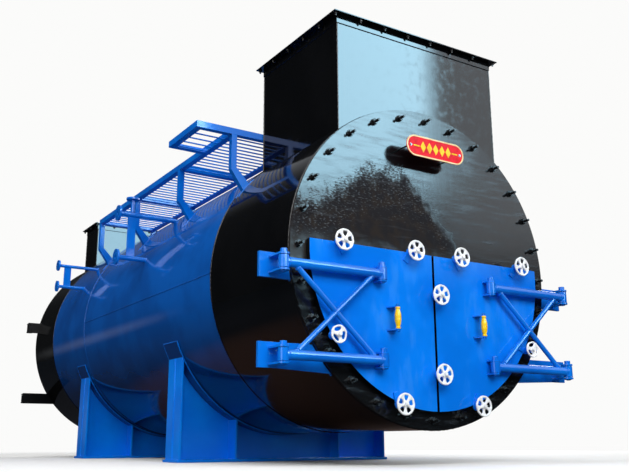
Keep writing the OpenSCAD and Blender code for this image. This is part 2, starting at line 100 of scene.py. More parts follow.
def add(tree, kind, fill=(), **settings):
    """Adds a node and gives its outputs.

    Settings are its properties. Fill gives its inputs in order, or by name or number: a socket or a list of
    sockets is linked, and anything else is the input's value."""
    node = tree.nodes.new(kind)
    for key, value in settings.items():
        setattr(node, key, value)
    for key, value in fill.items() if isinstance(fill, dict) else enumerate(fill):
        for source in value if isinstance(value, list) else [value]:
            if isinstance(source, bpy.types.NodeSocket):
                tree.links.new(source, node.inputs[key])
            else:
                node.inputs[key].default_value = source
    return node.outputs


def grain(tree, coords, size_mm, detail=3.0, stretch=(1, 1, 1)):
    """Noise whose blotches are about size_mm across, drawn out along an axis by stretch."""
    scaled = add(tree, "ShaderNodeVectorMath", [coords, stretch], operation="MULTIPLY")[0]
    fill = {"Vector": scaled, "Scale": 1 / (size_mm * MM), "Detail": detail}
    return add(tree, "ShaderNodeTexNoise", fill)["Fac"]


def wash(tree, under, over, pattern, low, high, least=0.0, most=1.0):
    """Lays a colour over another as a pattern goes from low to high. Each is a hex colour or a socket."""
    share = add(tree, "ShaderNodeMapRange", [pattern, low, high, least, most], **SMOOTH)[0]
    colours = [linear(c) if isinstance(c, str) else c for c in (under, over)]
    return add(tree, "ShaderNodeMix", {0: share, 6: colours[0], 7: colours[1]}, data_type="RGBA")[2]


def within(tree, strength, limits):
    """A strength that each limit (value, low, high, share at low, share at high) scales smoothly."""
    for limit in limits:
        share = add(tree, "ShaderNodeMapRange", limit, **SMOOTH)[0]
        strength = add(tree, "ShaderNodeMath", [strength, share], operation="MULTIPLY")[0]
    return strength


def relief(tree, layers, soft_edge_mm=0):
    """Stacks bumps, each a height from 0 to 1 and a depth in mm, on edges rounded by soft_edge_mm."""
    under = {}
    if soft_edge_mm:
        under = {"Normal": add(tree, "ShaderNodeBevel", {"Radius": soft_edge_mm * MM}, samples=4)[0]}
    for height, depth_mm in layers:
        bump = add(tree, "ShaderNodeBump", {"Height": height, "Distance": depth_mm * MM, **under})
        under = {"Normal": bump[0]}
    return under["Normal"]


def start_material(name):
    """A material with an empty tree, and its object coordinates."""
    material = bpy.data.materials.new(name)
    material.use_nodes = True
    tree = material.node_tree
    tree.nodes.clear()
    return material, tree, add(tree, "ShaderNodeTexCoord")["Object"]


def finish_material(tree, fill):
    """Closes a material with its shader."""
    shader = add(tree, "ShaderNodeBsdfPrincipled", fill)[0]
    add(tree, "ShaderNodeOutputMaterial", {"Surface": shader})


def sprayed_enamel(name, deep, bright, dust, roughness, wave_mm, wave_depth_mm, soft_edge_mm=2,
                   behind=None, grime=0.12, gloss=0.5, haze=0.0, wrap=None, underside_shade=None):
    """Gloss enamel sprayed on plate and sections: orange peel, a slow wave of the plate under it, and dust.

    Past the distance behind, counted from the front plate's face, it is the black of the smokebox. Haze is
    the share of rubbed, paler paint. Plates that lie against the drum have the colour wrap, which is partly
    the drum's own paint and partly painted shade on these low plates. The colour given last is painted shade
    that the drum darkens to towards the bottom."""
    material, tree, coords = start_material(name)
    x, y, z = add(tree, "ShaderNodeSeparateXYZ", [coords])
    colour = wash(tree, deep, bright, grain(tree, coords, 420), 0.38, 0.62)
    runs = grain(tree, coords, 26, 4.0, (1, 1, 0.12))
    colour = wash(tree, colour, deep, runs, 0.60, 0.78, 0.0, grime)
    if haze:
        streaks = grain(tree, coords, 60, 6.0, (1, 1, 0.3))
        rubbed = add(tree, "ShaderNodeMath", [grain(tree, coords, 420), streaks], operation="MULTIPLY")[0]
        colour = wash(tree, colour, "#4d9df0", rubbed, 0.25, 0.40, 0.0, haze)
    # Painted shade: the drum's colour darkens towards the bottom, fully below 0.35 m and not at all above
    # 1.35 m
    if underside_shade:
        colour = wash(tree, colour, underside_shade, z, 0.35, 1.35, 1.0, 0.0)
    # Partly painted shade: plates lying on the drum take the darker colour wrap, partly the drum's own paint
    if wrap:
        above_axis = add(tree, "ShaderNodeMath", [z, AXIS_Z * MM], operation="SUBTRACT")[0]
        out = add(tree, "ShaderNodeCombineXYZ", {0: x, 2: above_axis})[0]
        reach = add(tree, "ShaderNodeVectorMath", [out], operation="LENGTH")["Value"]
        wrap_r = SHELL_R + WEAR_T
        colour = wash(tree, colour, wrap, reach, (wrap_r + 0.5) * MM, (wrap_r + 1.5) * MM, 1.0, 0.0)
    normal = add(tree, "ShaderNodeNewGeometry")["Normal"]
    facing_up = add(tree, "ShaderNodeSeparateXYZ", [normal])[2]
    settled = within(tree, 1.0, [(facing_up, 0.6, 1.0, 0.0, 1.0),
                                 (grain(tree, coords, 90, 5.0), 0.42, 0.62, 0.08, 0.35)])
    colour = add(tree, "ShaderNodeMix", {0: settled, 6: colour, 7: linear(dust)}, data_type="RGBA")[2]
    if behind is not None:
        edge = [FACE_Y + (behind + d) * MM for d in (-0.4, 0.4)]
        colour = wash(tree, colour, "#08090b", y, *edge)
    rough = add(tree, "ShaderNodeMapRange",
                [grain(tree, coords, 60, 6.0), 0.45, 0.70, roughness, roughness + 0.06], **SMOOTH)[0]
    rough = add(tree, "ShaderNodeMath", [settled, 0.45, rough], operation="MULTIPLY_ADD")[0]
    # Real orange peel is 2 to 4 mm across, and is drawn at 9 mm so that it shows from here
    normal = relief(tree, [(grain(tree, coords, wave_mm, 1.0), wave_depth_mm),
                           (grain(tree, coords, 9, 1.0), 0.035)], soft_edge_mm)
    finish_material(tree, {"Base Color": colour, "Roughness": rough, "Normal": normal, "IOR": 1.5,
                           "Specular IOR Level": gloss})
    return material


def front_plate_enamel():
    """Black enamel rolled on by hand, glossy as a mirror but for a matt, brown-black dome above the doors,
    with drips from the studs and fine strokes across."""
    material, tree, coords = start_material("front_plate_enamel")
    x, _, z = add(tree, "ShaderNodeSeparateXYZ", [coords])
    ragged = add(tree, "ShaderNodeMath", [grain(tree, coords, 80, 6.0), 0.5], operation="SUBTRACT")[0]
    speckle = grain(tree, coords, 9, 6.0, (0.4, 1, 1))
    strokes = grain(tree, coords, 30, 6.0, (0.12, 1, 1))
    drips = grain(tree, coords, 24, 2.0, (1, 1, 0.10))
    # The dome in metres: its crown, the height it falls to, and how far to the side that fall starts and ends
    crown_x, crown_z, shoulder_z, fall_start, fall_end = -0.30, 1.92, 1.64, 0.10, 0.66
    off = add(tree, "ShaderNodeMath", [x, -crown_x], operation="ADD")[0]
    off = add(tree, "ShaderNodeMath", [off], operation="ABSOLUTE")[0]
    edge = add(tree, "ShaderNodeMapRange", [off, fall_start, fall_end, crown_z, shoulder_z], **SMOOTH)[0]
    above = add(tree, "ShaderNodeMath", [z, edge], operation="SUBTRACT")[0]
    above = add(tree, "ShaderNodeMath", [ragged, 0.30, above], operation="MULTIPLY_ADD")[0]
    specks = add(tree, "ShaderNodeMath", [speckle, 0.5], operation="SUBTRACT")[0]
    above = add(tree, "ShaderNodeMath", [specks, 0.40, above], operation="MULTIPLY_ADD")[0]
    # It ends on a slant at the right, thins out towards the doors, and is gone at about 1.12 m
    slant_z, slant_slope = 1.77, 0.9
    slant = add(tree, "ShaderNodeMath", [z, slant_z], operation="SUBTRACT")[0]
    slant = add(tree, "ShaderNodeMath", [slant, slant_slope, x], operation="MULTIPLY_ADD")[0]
    slant = add(tree, "ShaderNodeMath", [ragged, 0.25, slant], operation="MULTIPLY_ADD")[0]
    height = add(tree, "ShaderNodeMath", [ragged, 0.3, z], operation="MULTIPLY_ADD")[0]
    dull = within(tree, 1.0, [(above, -0.14, 0.10, 1.0, 0.0), (slant, -0.10, 0.06, 1.0, 0.0),
                              (height, 1.12, 1.26, 0.0, 1.0), (height, 1.32, 1.50, 0.52, 1.0)])
    flecks = within(tree, dull, [(above, -0.32, -0.08, 0.0, 1.0), (speckle, 0.54, 0.70, 0.0, 0.55)])
    # The dome's colour: a brown-black, a little paler than the glossy black around it
    dome_brown = wash(tree, "#151214", "#201915", ragged, -0.08, 0.14)
    colour = add(tree, "ShaderNodeMix", {0: dull, 6: linear("#0b0c0e"), 7: dome_brown}, data_type="RGBA")[2]
    colour = wash(tree, colour, "#3a3e43", strokes, 0.54, 0.72, 0.0, 0.40)
    colour = add(tree, "ShaderNodeMix", {0: flecks, 6: colour, 7: linear("#6a7279")}, data_type="RGBA")[2]
    rough = add(tree, "ShaderNodeMapRange", [dull, 0.0, 1.0, 0.12, 0.80], **SMOOTH)[0]
    brushed = add(tree, "ShaderNodeMapRange", [strokes, 0.42, 0.70, 0.0, 0.10], **SMOOTH)[0]
    rough = add(tree, "ShaderNodeMath", [rough, brushed], operation="ADD")[0]
    level = add(tree, "ShaderNodeMapRange", [dull, 0.0, 1.0, 0.50, 0.14], **SMOOTH)[0]
    spatter = within(tree, speckle, [(above, 0.0, 0.40, 1.0, 0.15)])
    normal = relief(tree, [(grain(tree, coords, 500, 1.0), 1.0), (drips, 0.12), (strokes, 0.12),
                           (spatter, 0.35)], 3)
    finish_material(tree, {"Base Color": colour, "Roughness": rough, "Specular IOR Level": level,
                           "Normal": normal, "IOR": 1.5})
    return material


def cast_enamel(name, colour, worn, roughness):
    """Thick enamel on a sand casting: softly lumpy, a little darker where hands and dirt reach."""
    material, tree, coords = start_material(name)
    base = wash(tree, colour, worn, grain(tree, coords, 14, 4.0), 0.52, 0.74, 0.0, 0.55)
    rough = add(tree, "ShaderNodeMapRange",
                [grain(tree, coords, 20), 0.35, 0.65, roughness, roughness + 0.18], **SMOOTH)[0]
    normal = relief(tree, [(grain(tree, coords, 5), 0.25), (grain(tree, coords, 1.6, 1.0), 0.05)])
    finish_material(tree, {"Base Color": base, "Roughness": rough, "Normal": normal, "IOR": 1.5})
    return material


def moulded_grip():
    """Glossy moulded polypropylene: even yellow with a soft sheen and faint moulding marks."""
    material, tree, coords = start_material("moulded_yellow_grip")
    base = wash(tree, "#f7c90c", "#d99f06", grain(tree, coords, 30), 0.45, 0.75, 0.0, 0.5)
    rough = add(tree, "ShaderNodeMapRange", [grain(tree, coords, 12), 0.35, 0.7, 0.22, 0.38], **SMOOTH)[0]
    normal = relief(tree, [(grain(tree, coords, 6, 2.0, (1, 1, 0.3)), 0.06)])
    finish_material(tree, {"Base Color": base, "Roughness": rough, "Normal": normal, "IOR": 1.49})
    return material


def turned_steel():
    """Turned mild steel with a film of oil: fine rings round the pin and some brown stain."""
    material, tree, coords = start_material("turned_steel")
    rings = grain(tree, coords, 2, 2.0, (0.05, 0.05, 1))
    base = wash(tree, "#9a9da0", "#5a4a3d", grain(tree, coords, 18, 5.0), 0.45, 0.72)
    rough = add(tree, "ShaderNodeMapRange", [rings, 0.3, 0.7, 0.28, 0.46], **SMOOTH)[0]
    normal = relief(tree, [(rings, 0.02)])
    finish_material(tree, {"Base Color": base, "Roughness": rough, "Normal": normal, "Metallic": 1.0})
    return material


def rolled_tube_steel():
    """Hot-rolled boiler steel with mill scale: grey-brown and dull, rustier in blotches."""
    material, tree, coords = start_material("mill_scale_steel")
    rust = add(tree, "ShaderNodeMapRange", [grain(tree, coords, 70, 7.0), 0.42, 0.66], **SMOOTH)[0]
    colours = {0: rust, 6: linear("#4a4744"), 7: linear("#6e4a30")}
    base = add(tree, "ShaderNodeMix", colours, data_type="RGBA")[2]
    rough = add(tree, "ShaderNodeMapRange", [rust, 0.0, 1.0, 0.5, 0.85], **SMOOTH)[0]
    metal = add(tree, "ShaderNodeMapRange", [rust, 0.2, 0.8, 0.8, 0.1], **SMOOTH)[0]
    normal = relief(tree, [(grain(tree, coords, 12, 5.0), 0.25)])
    finish_material(tree, {"Base Color": base, "Roughness": rough, "Metallic": metal, "Normal": normal})
    return material


def fibre_board():
    """Pressed insulating board: matt, chalky, with short fibres."""
    material, tree, coords = start_material("insulating_fibre_board")
    fibre = grain(tree, coords, 9, 6.0, (0.25, 1, 1))
    base = wash(tree, "#c9c2b0", "#9d9583", fibre, 0.38, 0.68)
    normal = relief(tree, [(fibre, 0.6)])
    finish_material(tree, {"Base Color": base, "Normal": normal, "Roughness": 0.95, "IOR": 1.45})
    return material


def sign_enamel(name, colour, shade, roughness):
    """Stove enamel on a cast plate: dense colour, slightly uneven gloss, and black posts behind the plate."""
    material, tree, coords = start_material(name)
    base = wash(tree, colour, shade, grain(tree, coords, 40, 4.0), 0.42, 0.70, 0.0, 0.7)
    y = add(tree, "ShaderNodeSeparateXYZ", [coords])[1]
    # The posts turn black over 1 mm, which starts 3 mm behind the plate's back
    black_from = FACE_Y - (NAME_Y - NAME_T - 3) * MM
    base = wash(tree, base, "#0b0c0e", y, black_from, black_from + MM)
    rough = add(tree, "ShaderNodeMapRange",
                [grain(tree, coords, 8), 0.35, 0.65, roughness, roughness + 0.12], **SMOOTH)[0]
    normal = relief(tree, [(grain(tree, coords, 5, 2.0), 0.05)])
    finish_material(tree, {"Base Color": base, "Roughness": rough, "Normal": normal, "IOR": 1.5,
                           "Specular IOR Level": 0.15})
    return material


# Deep, bright and dusty colours of the black paint
BLACK_PAINT = ("#060709", "#090a0c", "#2c2f33")

# The finishes
shell_enamel = sprayed_enamel("shell_azure_enamel", "#0950a4", "#0b5cb8", "#5d7fa8", 0.06, 600, 1.6,
                              soft_edge_mm=0, grime=0.05, underside_shade="#03183a")
door_enamel = sprayed_enamel("door_azure_enamel", "#0470dd", "#067cee", "#6d93bd", 0.09, 300, 0.5,
                             behind=-DOOR_FACE + 2, gloss=0.35, haze=0.18)
arm_enamel = sprayed_enamel("arm_azure_enamel", "#0566cf", "#0776e2", "#6f8fb0", 0.10, 200, 0.2,
                            soft_edge_mm=4)
steelwork_enamel = sprayed_enamel("steelwork_azure_enamel", "#0566cb", "#0774de", "#6f8fb0", 0.10, 300, 0.4)
# Painted light: the saddles' azure is a brighter copy of the steelwork's, standing in for light they catch
# from low on the left. Their wear plates take the darker wrap colour, partly painted shade.
saddle_enamel = sprayed_enamel("saddle_azure_enamel", "#057df6", "#078aff", "#6f8fb0", 0.12, 300, 0.4,
                               soft_edge_mm=6, wrap="#063a7c")
smokebox_enamel = sprayed_enamel("smokebox_black_enamel", *BLACK_PAINT, 0.07, 700, 1.6, soft_edge_mm=0)
uptake_enamel = sprayed_enamel("uptake_black_enamel", *BLACK_PAINT, 0.06, 500, 0.5)
bracket_enamel = sprayed_enamel("bracket_black_enamel", *BLACK_PAINT, 0.30, 500, 0.4, gloss=0.15)
plate_enamel = front_plate_enamel()
wheel_enamel = cast_enamel("handwheel_white_enamel", "#eceeef", "#b9bcbf", 0.30)
nut_enamel = cast_enamel("nut_black_enamel", "#0b0c0e", "#26282b", 0.22)
grip_plastic = moulded_grip()
pin_steel = turned_steel()
tube_steel = rolled_tube_steel()
lining_board = fibre_board()
sign_red = sign_enamel("nameplate_red_enamel", "#dc1c2c", "#b5121f", 0.35)
sign_cream = sign_enamel("nameplate_cream_enamel", "#f1dcae", "#d9b878", 0.30)
sign_gold = sign_enamel("nameplate_yellow_enamel", "#f2cf3a", "#d8a72a", 0.30)

# The finish of each CAD node except the handwheels, which castings replace
FINISHES = (
    (shell_enamel, ["boiler_shell"]),
    (tube_steel, ["front_tube_sheet", "rear_tube_sheet", "fire_tubes"]),
    (smokebox_enamel, ["front_smokebox", "rear_smokebox", "rear_cover"]),
    (plate_enamel, ["front_plate"]),
    (uptake_enamel, ["front_uptake_box", "front_uptake_flange", "rear_uptake_box", "rear_uptake_flange"]),
    (bracket_enamel, ["rear_hinge_brackets"]),
    (nut_enamel, ["rear_cover_clamps"]),
    (saddle_enamel, ["front_saddle", "rear_saddle"]),
    (steelwork_enamel, ["walkway_frame", "walkway_grating", "walkway_posts", "front_nozzles", "rear_nozzles",
                        "door_hinge_brackets"]),
    (arm_enamel, ["door_hinge_pins", "left_door_pins", "right_door_pins", "left_door_arm", "right_door_arm",
                  "left_grip_bracket", "right_grip_bracket"]),
    (door_enamel, ["left_door", "right_door"]),
    (lining_board, ["left_door_lining", "right_door_lining"]),
    (grip_plastic, ["left_grip", "right_grip"]),
    (sign_red, ["nameplate"]),
)
for finish, node_names in FINISHES:
    for node_name in node_names:
        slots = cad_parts[node_name].data.materials
        slots.clear()
        slots.append(finish)


def keep(name, mesh, body, material=None):
    """Puts a finished mesh in the scene as a piece that rides on a body."""
    piece = bpy.data.objects.new(name, mesh)
    bpy.context.scene.collection.objects.link(piece)
    if material:
        mesh.materials.append(material)
    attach(piece, body)
    return piece


def grow(name, seeds, tree, sizes, body):
    """Runs a node tree on a mesh of points or lines and keeps what grows as one plain mesh."""
    seed = bpy.data.objects.new(name + "_seed", seeds)
    bpy.context.scene.collection.objects.link(seed)
    modifier = seed.modifiers.new("Grow", "NODES")
    modifier.node_group = tree
    for item in tree.interface.items_tree:
        if item.in_out == "INPUT" and item.name in sizes:
            modifier[item.identifier] = sizes[item.name]
    mesh = bpy.data.meshes.new_from_object(seed.evaluated_get(bpy.context.evaluated_depsgraph_get()))
    mesh.name = name
    bpy.data.objects.remove(seed)
    return keep(name, mesh, body)


def begin_tree(name, inputs):
    """A geometry tree with named inputs, each a (name, socket type, default), and what it is given."""
    tree = bpy.data.node_groups.new(name, "GeometryNodeTree")
    tree.interface.new_socket("Seeds", in_out="INPUT", socket_type="NodeSocketGeometry")
    for title, kind, default in inputs:
        item = tree.interface.new_socket(title, in_out="INPUT", socket_type="NodeSocket" + kind)
        if default is not None:
            item.default_value = default
    tree.interface.new_socket("Grown", in_out="OUTPUT", socket_type="NodeSocketGeometry")
    return tree, add(tree, "NodeGroupInput")


def end_tree(tree, geometry, finish):
    """Ends a tree in plain geometry of one finish."""
    real = add(tree, "GeometryNodeRealizeInstances", [geometry])[0]
    coated = add(tree, "GeometryNodeSetMaterial", {"Geometry": real, "Material": finish})[0]
    add(tree, "NodeGroupOutput", [coated])
    return tree


def weld_bead_tree():
    """A weld bead along lines, rippled by the welder's steps."""
    tree, given = begin_tree("weld_bead", [
        ("Bead Radius", "Float", 0.005), ("Ripple Step", "Float", 0.009), ("Finish", "Material", None)])
    line = add(tree, "GeometryNodeMeshToCurve", {"Mesh": given["Seeds"]})[0]
    line = add(tree, "GeometryNodeResampleCurve", {"Curve": line, "Length": given["Ripple Step"]},
               mode="LENGTH")[0]
    ripple = add(tree, "FunctionNodeRandomValue", {2: 0.72, 3: 1.15, "Seed": 4}, data_type="FLOAT")[1]
    ring = add(tree, "GeometryNodeCurvePrimitiveCircle", {"Resolution": 6, "Radius": given["Bead Radius"]})[0]
    bead = add(tree, "GeometryNodeCurveToMesh",
               {"Curve": line, "Profile Curve": ring, "Scale": ripple, "Fill Caps": True})[0]
    bead = add(tree, "GeometryNodeSetShadeSmooth", {"Geometry": bead})[0]
    return end_tree(tree, bead, given["Finish"])


def stud_tree():
    """A washer, a nut and a stud at each point, standing along the point's direction and turned at random."""
    tree, given = begin_tree("stud_and_nut", [
        ("Washer Radius", "Float", 0.019), ("Washer Height", "Float", 0.003), ("Nut Width", "Float", 0.03),
        ("Nut Height", "Float", 0.016), ("Stud Radius", "Float", 0.009), ("Stud Length", "Float", 0.05),
        ("Finish", "Material", None)])
    across_corners = 1 / math.sqrt(3)
    parts = []
    for sides, radius, height, base, share in (
            (18, "Washer Radius", "Washer Height", None, 1.0),
            (6, "Nut Width", "Nut Height", "Washer Height", across_corners),
            (10, "Stud Radius", "Stud Length", None, 1.0)):
        size = add(tree, "ShaderNodeMath", [given[radius], share], operation="MULTIPLY")[0]
        drum = add(tree, "GeometryNodeMeshCylinder",
                   {"Vertices": sides, "Radius": size, "Depth": given[height]})[0]
        lift = add(tree, "ShaderNodeMath", [given[height], 0.5], operation="MULTIPLY")[0]
        if base:
            lift = add(tree, "ShaderNodeMath", [lift, given[base]], operation="ADD")[0]
        up = add(tree, "ShaderNodeCombineXYZ", {2: lift})[0]
        parts.append(add(tree, "GeometryNodeTransform", {"Geometry": drum, "Translation": up})[0])
    whole = add(tree, "GeometryNodeJoinGeometry", {0: parts})[0]
    aim = add(tree, "GeometryNodeInputNamedAttribute", {"Name": "direction"}, data_type="FLOAT_VECTOR")[0]
    stand = add(tree, "FunctionNodeAlignRotationToVector", {"Vector": aim}, axis="Z")[0]
    turn = add(tree, "FunctionNodeRandomValue", {2: 0.0, 3: math.tau, "Seed": 11}, data_type="FLOAT")[1]
    spin = add(tree, "FunctionNodeAxisAngleToRotation", {"Axis": (0, 0, 1), "Angle": turn})[0]
    pose = add(tree, "FunctionNodeRotateRotation", {"Rotation": stand, "Rotate By": spin},
               rotation_space="LOCAL")[0]
    dots = add(tree, "GeometryNodeInstanceOnPoints",
               {"Points": given["Seeds"], "Instance": whole, "Rotation": pose})[0]
    return end_tree(tree, dots, given["Finish"])


def bar_tree():
    """Round bars along lines."""
    tree, given = begin_tree("grating_bars", [("Bar Radius", "Float", 0.005), ("Finish", "Material", None)])
    line = add(tree, "GeometryNodeMeshToCurve", {"Mesh": given["Seeds"]})[0]
    ring = add(tree, "GeometryNodeCurvePrimitiveCircle", {"Resolution": 8, "Radius": given["Bar Radius"]})[0]
    bars = add(tree, "GeometryNodeCurveToMesh", {"Curve": line, "Profile Curve": ring, "Fill Caps": True})[0]
    return end_tree(tree, bars, given["Finish"])


BEAD_TREE, STUD_TREE, BAR_TREE = weld_bead_tree(), stud_tree(), bar_tree()


def line_mesh(paths):
    """Lines through lists of points in metres; a path that ends where it starts is closed."""
    mesh = bpy.data.meshes.new("lines")
    points, edges = [], []
    for path in paths:
        start = len(points)
        closed = (path[0] - path[-1]).length < 1e-6
        own = path[:-1] if closed else path
        points += own
        edges += [(start + i, start + i + 1) for i in range(len(own) - 1)]
        if closed:
            edges.append((start + len(own) - 1, start))
    mesh.from_pydata(points, edges, [])
    return mesh


def weld(name, paths, radius_mm, material, body="boiler"):
    """Weld beads along the paths."""
    step_mm = max(6, radius_mm * 1.8)
    sizes = {"Bead Radius": radius_mm * MM, "Ripple Step": step_mm * MM, "Finish": material}
    return grow(name, line_mesh(paths), BEAD_TREE, sizes, body)


def studs(name, spots, sizes_mm, material, body="boiler"):
    """Studs at (point, direction) spots; sizes are washer, nut and stud as radius or width and height."""
    mesh = bpy.data.meshes.new("spots")
    mesh.from_pydata([spot for spot, _ in spots], [], [])
    aim = mesh.attributes.new("direction", "FLOAT_VECTOR", "POINT")
    for item, (_, direction) in zip(aim.data, spots):
        item.vector = direction
    titles = ("Washer Radius", "Washer Height", "Nut Width", "Nut Height", "Stud Radius", "Stud Length")
    sizes = {title: size * MM for title, size in zip(titles, sizes_mm)}
    return grow(name, mesh, STUD_TREE, {**sizes, "Finish": material}, body)


def ring_point(y, radius, degrees):
    """A point round the boiler's axis, counted from the right-hand side up and over."""
    turn = math.radians(degrees)
    return place(radius * math.cos(turn), y, AXIS_Z + radius * math.sin(turn))


def ring_path(y, radius, first=0, last=360, steps=120):
    """A circle or arc round the boiler's axis."""
    return [ring_point(y, radius, first + (last - first) * i / steps) for i in range(steps + 1)]


def on_shell(x, y):
    """The point of the drum's upper surface at x."""
    return place(x, y, AXIS_Z + math.sqrt(SHELL_R ** 2 - x ** 2))


def under_saddle_plate(x, y):
    """The point at x on the underside of a saddle's wear plate."""
    return place(x, y, AXIS_Z - math.sqrt((SHELL_R + WEAR_T) ** 2 - x ** 2))


def beside_shell(side, y, z):
    """The point of the drum's left or right surface at the height z."""
    return place(side * math.sqrt(SHELL_R ** 2 - (z - AXIS_Z) ** 2), y, z)


def loop_round(centre, radius_mm, across, up, steps=24):
    """A closed circle of points in the plane of the two directions."""
    turns = [math.tau * i / steps for i in range(steps)]
    points = [centre + (across * math.cos(t) + up * math.sin(t)) * radius_mm * MM for t in turns]
    return points + points[:1]


def front_plate_studs():
    """Studs that bolt the front plate to the ring behind it."""
    count, first, circle_r = 28, 89.15, 1040
    spots = [(ring_point(0, circle_r, first + i * 360 / count), -Y_AXIS) for i in range(count)]
    studs("front_plate_studs", spots, (25, 4, 36, 20, 9.5, 62), nut_enamel)


def flange_bolts():
    """Bolts on the flat legs of both uptake flanges: across the front and rear, and along both sides."""
    lane, leg_t = 25, 6
    heads, nuts = [], []
    for end, across, beside in (("front", 7, 5), ("rear", 6, 2)):
        half, front, rear, top = UPTAKES[end]
        half, front, rear = half + lane, front - lane, rear + lane
        spots = [(-half + 2 * half * i / across, y) for y in (front, rear) for i in range(across + 1)]
        spots += [(x, front + (rear - front) * i / beside) for x in (-half, half) for i in range(1, beside)]
        heads += [(place(x, y, top + leg_t), Z_AXIS) for x, y in spots]
        nuts += [(place(x, y, top), -Z_AXIS) for x, y in spots]
    studs("uptake_flange_bolt_heads", heads, (15, 2, 22, 8, 1, 6), nut_enamel)
    studs("uptake_flange_bolt_nuts", nuts, (15, 2, 22, 12, 6.5, 26), nut_enamel)


def drum_welds():
    """Seams of the shell, round the front plate, and where the smokeboxes join the shell."""
    belt_y, seam_rise, top_seam_x = 4100, 20, 420
    side_seam = 180 - math.degrees(math.asin(seam_rise / SHELL_R))
    seams = [ring_path(belt_y, SHELL_R),
             [ring_point(y, SHELL_R, side_seam) for y in (SHELL_START + 8, belt_y - 5)],
             [on_shell(top_seam_x, y) for y in (belt_y + 5, SHELL_END - 8)]]
    weld("shell_seam_welds", seams, 4.5, shell_enamel)
    rings = {"front_plate_rim_weld": [PLATE_T], "smokebox_joint_welds": [SHELL_START, SHELL_END]}
    for name, ys in rings.items():
        weld(name, [ring_path(y, SHELL_R) for y in ys], 5, smokebox_enamel)


def uptake_welds():
    """The upright corners of both uptake boxes, and the lines where they meet the drum and the flange."""
    leg = 60
    for end, (half, front, rear, top) in UPTAKES.items():
        lines = [[on_shell(x, y), place(x, y, top - leg - 2)] for x in (-half, half) for y in (front, rear)]
        lines += [[on_shell(-half + 2 * half * i / 40, y) for i in range(41)] for y in (front, rear)]
        lines += [[on_shell(x, y) for y in (front, rear)] for x in (-half, half)]
        corners = [(-half, front), (half, front), (half, rear), (-half, rear), (-half, front)]
        lines.append([place(x, y, top - leg) for x, y in corners])
        weld(end + "_uptake_welds", lines, 5, uptake_enamel)


def saddle_welds():
    """Beads at the feet and tops of the saddles' ribs and webs, and round their wear plates."""
    base_t, web_t, width, base_proud, wear_drop = 20, 16, 270, 15, 397
    rib_xs, web_end, bead_lift = (-977, -495, 495, 977), 965, 8
    wear_low = 180 + math.degrees(math.asin(wear_drop / (SHELL_R + WEAR_T)))
    wear_high = 540 - wear_low
    lines, wear_lines = [], []
    for saddle_start in SADDLE_STARTS:
        start = saddle_start + base_proud
        end = start + width
        web_ys = [start + width / 2 + side * web_t / 2 for side in SIDES]
        wear_lines += [ring_path(y, SHELL_R + bead_lift, wear_low, wear_high, 80) for y in (start, end)]
        wear_lines += [[ring_point(y, SHELL_R + bead_lift, turn) for y in (start, end)]
                       for turn in (wear_low, wear_high)]
        for foot in [x + side * web_t / 2 for x in rib_xs for side in SIDES]:
            lines.append([place(foot, start + 3, base_t), place(foot, end - 3, base_t)])
            lines += [[place(foot, y, base_t), under_saddle_plate(foot, y) - Z_AXIS * 4 * MM] for y in web_ys]
        for y in web_ys:
            lines.append([place(side * web_end, y, base_t) for side in SIDES])
            lines.append([under_saddle_plate(x, y) for x in range(-960, 961, 40)])
    weld("saddle_welds", lines, 5, saddle_enamel)
    weld("wear_plate_welds", wear_lines, 6, arm_enamel)


def nozzle_welds():
    """Beads where the nozzles enter the shell and behind their flanges, and round the upright branch."""
    flange_x, branch_x, branch_rise, branch_r = -1282, -1165, 21, 17.5
    front_y, front_low, front_high, rear_y, rear_low, rear_high = 2660, 1735, 2135, 4530, 1775, 2000
    front_r, rear_r = 21.2, 16.85
    pipes = [(front_y, z, front_r) for z in (front_low, front_high)]
    pipes += [(rear_y, z, rear_r) for z in (rear_low, rear_high)]
    turns = [math.tau * i / 28 for i in range(28)]
    lines = []
    for y, z, radius in pipes:
        bead_r = radius + 1
        path = [beside_shell(-1, y + bead_r * math.cos(t), z + bead_r * math.sin(t)) - X_AXIS * MM
                for t in turns]
        lines.append(path + path[:1])
        lines.append(loop_round(place(flange_x, y, z), radius + 0.5, Y_AXIS, Z_AXIS))
    lines.append(loop_round(place(branch_x, front_y, front_high + branch_rise), branch_r, X_AXIS, Y_AXIS))
    weld("nozzle_welds", lines, 4, steelwork_enamel)


def bracket_welds():
    """Beads of the hinge brackets on the smokebox, and of the clevis plates on the brackets."""
    front, rear, clevis_half = 22, 42, 34
    gussets, clevis_edges = ((1262, 1096), (722, 538)), (-42, -54, 42, 54)
    lines = []
    for side in SIDES:
        for top, low in gussets:
            lines += [[beside_shell(side, y, z) for z in range(low + 4, top, 12)] for y in (front, rear)]
        for z in ARM_HEIGHTS:
            for dz in clevis_edges:
                ends = (HINGE_X - clevis_half, HINGE_X + clevis_half)
                lines.append([place(side * x, front, z + dz) for x in ends])
    weld("bracket_welds", lines, 4.5, steelwork_enamel)


